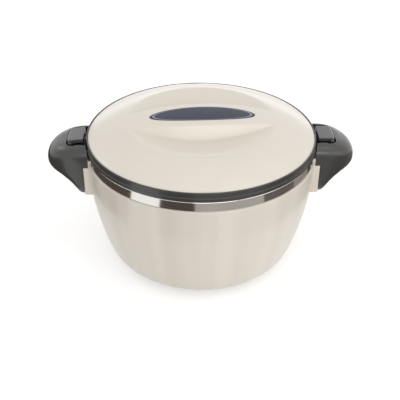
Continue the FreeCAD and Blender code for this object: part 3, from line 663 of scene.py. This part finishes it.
def latch_placed(grid, way, angle):
    """Turned about the pin by the opening angle, then carried to its side of the pot."""
    out, up = grid[..., 0] - PIN_REACH, grid[..., 2] - PIN_HEIGHT
    x = PIN_REACH + out * math.cos(angle) + up * math.sin(angle)
    z = PIN_HEIGHT + up * math.cos(angle) - out * math.sin(angle)
    return np.stack([x * way, grid[..., 1] * way, z], -1)


for side, way in SIDES:
    body, turn = f"{side}_latch", LATCH_OPEN[side]
    lever = block(f"{side}_lever", latch_placed(lever_block, way, turn), grey, body)
    hollow = block("hollow", latch_placed(hollow_block, way, turn), grey, body)
    carved(lever, hollow)
    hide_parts(f"{side}_latch")

# Lid ring: a dark hoop moulded round the lid, with a thin lip over the cover's edge and a
# fine ledge half way up its side. The gasket and the liner are held under it.

RING_RADIUS, RING_FLOOR, RING_TOP = 115.8, 129.8, 139.4
LEDGE_LOW, LEDGE_HIGH, LEDGE_DEPTH = 133.4, 134.0, 0.5
COVER_RADIUS, COVER_FOOT = 114.0, 137.0
GASKET_SEAT, GASKET_TOP = 111.6, 130.4
LINER_SEAT, LINER_TOP = 107.2, 131.0
RING_MOUTH = 104.4

profile = rounded([
    (GASKET_SEAT, RING_FLOOR, 0), (RING_RADIUS, RING_FLOOR, 0.6), (RING_RADIUS, LEDGE_LOW, 0.15),
    (RING_RADIUS - LEDGE_DEPTH, LEDGE_HIGH, 0.2), (RING_RADIUS - LEDGE_DEPTH, RING_TOP, 0.7),
    (COVER_RADIUS + SEAT_GAP, RING_TOP, 0.3), (COVER_RADIUS + SEAT_GAP, COVER_FOOT, 0),
    (RING_MOUTH, COVER_FOOT, 0), (RING_MOUTH, LINER_TOP, 0), (LINER_SEAT, LINER_TOP, 0),
    (LINER_SEAT, GASKET_TOP, 0), (GASKET_SEAT, GASKET_TOP, 0)], 6)
ring = mesh_piece("ring", "lid", turned(profile, 320), charcoal)
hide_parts("lid_ring")

# Gasket: a flat hoop of white rubber under the ring. It holds the liner's flange up and seals
# the lid on the bowl's rim shelf.

rubber, shader, place = finish("white_rubber", Roughness=0.6)
bloom = noise(place, 400.0)
feed(shader, Base_Color=shade(bloom, (0.6, 0.6, 0.58), (0.78, 0.78, 0.76)))
paint(rubber, "lid_gasket")

# Cover: cream plastic with a satin gloss, moulded in one with the round recess and the
# bridge across it. It was put on turned a little off the line of the handles.

COVER_WALL = 2.2
APEX = 159.3
SHOULDER_RADIUS, SHOULDER_X, SHOULDER_Z = 150.0, 45.9, 5.35
CROWN_RADIUS, CROWN_END = 418.7, 71.5
DISH_RADIUS, DISH_FLAT, DISH_LOW, DISH_BRIM = 75.0, 26.0, 144.0, 152.5
DISH_BLEND, DISH_POWER, BRIM_ROUND = 12.0, 1.02, 0.9
BRIDGE_HALF, BRIDGE_BOW = 29.4, 244.0
BRIDGE_LEAN = math.tan(math.radians(23))
CREASE_ROUND, FOOT_ROUND = 1.0, 2.4
LID_TURN = math.radians(2.2)
EDGE_ROUND = 0.9
HOOP_STEPS = (0, 0.4, 0.9, 1.5, 2.2, 3.0, 4.0, 5.5, 8.0)


def soft_least(a, b, k):
    """The lesser of two heights, rounded over where they come within k of each other."""
    share = np.clip(0.5 + 0.5 * (b - a) / k, 0, 1)
    return b * (1 - share) + a * share - k * share * (1 - share)


def dome(radius, inset=0.0):
    """Height of the cover's crown arc, and of its shoulder arc outside that.

    Each is the height of its centre plus sqrt(R^2 - distance from the centre^2).
    """
    crown = APEX - CROWN_RADIUS + np.sqrt((CROWN_RADIUS - inset) ** 2 - radius ** 2)
    out = radius - SHOULDER_X
    shoulder = SHOULDER_Z + np.sqrt(np.maximum((SHOULDER_RADIUS - inset) ** 2 - out ** 2, 0))
    return np.where(radius < CROWN_END, crown, shoulder)


def recess(radius, inset=0.0):
    """Height of the round recess, a shallow cone that softly meets the dome.

    It rises from its floor by slope * run^1.02, where run is sqrt(r^2 + blend^2) less what that
    is at the flat's edge.
    """
    slope = (DISH_BRIM - DISH_LOW) / (DISH_RADIUS - DISH_FLAT)
    run = np.sqrt(radius ** 2 + DISH_BLEND ** 2) - math.hypot(DISH_FLAT, DISH_BLEND)
    cone = DISH_LOW - inset + slope * np.maximum(run, 0) ** DISH_POWER
    return soft_least(cone, dome(radius, inset), BRIM_ROUND)


def bridge_half(x):
    """Half width of the bridge at the level of the recess's floor, less where it bows in."""
    return BRIDGE_HALF - BRIDGE_BOW + np.sqrt(BRIDGE_BOW ** 2 - x ** 2)


def cover_height(x, y, inset=0.0):
    """The dome less the recess's depth, and less no more than the leaning wall has fallen.

    Both roundings shrink with the recess's depth, so that nothing is left of them outside it.
    """
    radius = np.hypot(x, y)
    top = dome(radius, inset)
    depth = top - recess(radius, inset)
    fallen = top - DISH_LOW - (bridge_half(x) - inset - np.abs(y)) / BRIDGE_LEAN
    little = np.maximum(depth / 2, 1e-6)
    fallen = -soft_least(-fallen, 0.0, np.minimum(CREASE_ROUND, little))
    return top - soft_least(depth, fallen, np.minimum(FOOT_ROUND, little))


def bridge_lines(x, inset):
    """Distance of the bridge's crease and of its foot from its middle line, at each x.

    Each is where the leaning wall meets the dome or the recess, found in a few turns.
    """
    start = bridge_half(x) - inset
    crease = foot = start
    for _ in range(6):
        crease = start - (dome(np.hypot(x, crease), inset) - DISH_LOW) * BRIDGE_LEAN
        foot = start - (recess(np.hypot(x, foot), inset) - DISH_LOW) * BRIDGE_LEAN
    return crease, foot


def cover_disc(reach, inset, columns=141, bridge_rows=14, wall_rows=20, floor_rows=44):
    """Bowed lines across the recess's circle that run along the bridge's crease and foot.

    A line is share a of the way to the crease, then share b of the way down the wall, then
    a distance beyond it; its ends are where it meets the circle, found by halving.
    """
    margin, skirt = 1.3, 2.2
    beyond = reach - BRIDGE_HALF - skirt
    a = np.concatenate([np.linspace(0, 1, bridge_rows), np.ones(wall_rows + floor_rows)])
    b = np.concatenate([np.zeros(bridge_rows), np.linspace(0, 1, wall_rows + 1)[1:],
                        np.ones(floor_rows)])
    out = beyond * np.sin(np.linspace(0, math.pi / 2, floor_rows + 1)[1:])
    out = np.concatenate([np.zeros(bridge_rows + wall_rows), out + inset])

    def line(x):
        crease, foot = bridge_lines(x, inset)
        inner, outer = crease - margin, foot + skirt
        return a[:, None] * inner + b[:, None] * (outer - inner) + out[:, None]

    low, high = np.zeros((len(a), 1)), np.full((len(a), 1), float(reach))
    for _ in range(40):
        middle = (low + high) / 2
        outside = np.hypot(middle, line(middle)) > reach
        low, high = np.where(outside, low, middle), np.where(outside, middle, high)
    x = np.linspace(-1, 1, columns)[None] * low
    y = line(x)
    x, y = np.concatenate([x[:0:-1], x]), np.concatenate([-y[:0:-1], y])
    return np.stack([x, y, cover_height(x, y, inset)], -1)


def cover_hoop(disc, radii, inset):
    """Rings outside the disc, each point on the bearing of one on the disc's edge."""
    edge = np.concatenate([disc[:, -1], disc[-2:0:-1, 0]])
    bearing = np.arctan2(edge[:, 1], edge[:, 0])[None]
    x, y = radii[:, None] * np.cos(bearing), radii[:, None] * np.sin(bearing)
    return np.stack([x, y, cover_height(x, y, inset)], -1)


def lid_turned(grid):
    """The grid turned about the axis as the lid was put on."""
    x, y = grid[..., 0], grid[..., 1]
    return np.stack([x * math.cos(LID_TURN) - y * math.sin(LID_TURN),
                     x * math.sin(LID_TURN) + y * math.cos(LID_TURN), grid[..., 2]], -1)


lid_cream, shader, place = finish("satin_cream", Coat_Weight=0.4, Coat_Roughness=0.12)
cloud = noise(place, 30.0)
grain = noise(place, 1800.0)
feed(shader, Base_Color=shade(cloud, (0.755, 0.695, 0.61), (0.785, 0.73, 0.645)),
     Roughness=cloud * 0.08 + grain * 0.06 + 0.32, Normal=bump(grain, 0.00001))

outer_disc = cover_disc(DISH_RADIUS, 0.0)
inner_disc = cover_disc(DISH_RADIUS + COVER_WALL, COVER_WALL)
outer_radii = np.concatenate([
    DISH_RADIUS + np.array(HOOP_STEPS[:-1]),
    np.linspace(DISH_RADIUS + HOOP_STEPS[-1], COVER_RADIUS - EDGE_ROUND, 14)])
outer_hoop = cover_hoop(outer_disc, outer_radii, 0.0)
inner_radii = np.linspace(DISH_RADIUS + COVER_WALL, COVER_RADIUS - COVER_WALL, 12)
inner_hoop = cover_hoop(inner_disc, inner_radii, COVER_WALL)[::-1]
bend = arc((COVER_RADIUS - EDGE_ROUND, dome(COVER_RADIUS) - EDGE_ROUND), EDGE_ROUND, 60, 0, 5)
flat_ring = outer_hoop[-1, :, :2] / (COVER_RADIUS - EDGE_ROUND)
edge_rows = [np.column_stack([flat_ring * radius, np.full(len(flat_ring), height)])
             for radius, height in [*bend, (COVER_RADIUS, COVER_FOOT)]]
foot_row = inner_hoop[0].copy()
foot_row[:, 2] = COVER_FOOT
hoop = np.concatenate([outer_hoop, np.stack(edge_rows), foot_row[None], inner_hoop])

cover_parts = [mesh_piece("cover_patch", "lid", lid_turned(grid), lid_cream, 40.0, False, wrap)
               for grid, wrap in ((outer_disc, False), (hoop, True), (inner_disc, False))]
cover = merged("cover", "lid", cover_parts, lid_cream, 50.0)
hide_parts("lid_cover")

# Badge: a dark blue oval plate let into the bridge, lacquered, with a fine pale line inside
# its edge. Its face is kept blank.

BADGE_LENGTH, BADGE_WIDTH = 106.0, 29.0
BADGE_X, BADGE_Y = 1.0, 0.3
BADGE_PROUD, BADGE_SUNK, BADGE_EDGE = 0.28, 0.5, 0.3
# Shares of the way to the edge between which the pale line comes in and goes out
BADGE_LINE = (0.9, 0.915, 0.935, 0.95)


def badge_grid(around=200):
    """An oval x = a cos t, y = b sin t, scaled from its middle to its rounded edge.

    Each point stands on the cover's dome, by the plate's height or less over its edge.
    """
    angle = np.linspace(0, 2 * np.pi, around, endpoint=False)
    a, b = BADGE_LENGTH / 2, BADGE_WIDTH / 2
    oval = np.stack([a * np.cos(angle), b * np.sin(angle)], -1)
    normal = np.stack([b * np.cos(angle), a * np.sin(angle)], -1)
    normal /= np.linalg.norm(normal, axis=1, keepdims=True)
    inner = oval - normal * BADGE_EDGE
    rows = [(inner * share, BADGE_PROUD) for share in np.linspace(0, 1, 24)]
    rows += [(inner + normal * BADGE_EDGE * math.sin(swing),
              BADGE_PROUD - BADGE_EDGE * (1 - math.cos(swing)))
             for swing in np.radians(np.linspace(0, 90, 6))[1:]]
    rows += [(oval * share, -BADGE_SUNK) for share in (1, 0)]
    flat = np.stack([row + (BADGE_X, BADGE_Y) for row, _ in rows])
    rise = np.array([proud for _, proud in rows])[:, None]
    height = dome(np.hypot(flat[..., 0], flat[..., 1])) + rise
    return np.concatenate([flat, height[..., None]], -1)


navy, shader, place = finish("navy_plate", Coat_Weight=0.1, Coat_Roughness=0.05, IOR=1.36)
centred = place.node("Mapping", {"vector_type": "TEXTURE"}, {
    "Vector": place, "Rotation": (0, 0, LID_TURN),
    "Location": (BADGE_X * MM, BADGE_Y * MM, 0),
    "Scale": (BADGE_LENGTH / 2 * MM, BADGE_WIDTH / 2 * MM, 1e6)})
out = centred.node("VectorMath", {"operation": "LENGTH"}, {0: centred}, "Value")
pale_line = out.between(*BADGE_LINE[:2]) * (1 - out.between(*BADGE_LINE[2:]))
haze = noise(place, 60.0)
blue = shade(haze, (0.008, 0.012, 0.035), (0.014, 0.02, 0.052))
feed(shader, Base_Color=pale_line.node("Mix", {"data_type": "RGBA"},
                                       {"Factor": pale_line, "A": blue, "B": (0.3, 0.31, 0.36, 1)},
                                       "Result"),
     Roughness=haze * 0.1 + 0.22)

badge = mesh_piece("badge", "lid", lid_turned(badge_grid()), navy, 40.0, False)
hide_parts("lid_badge")
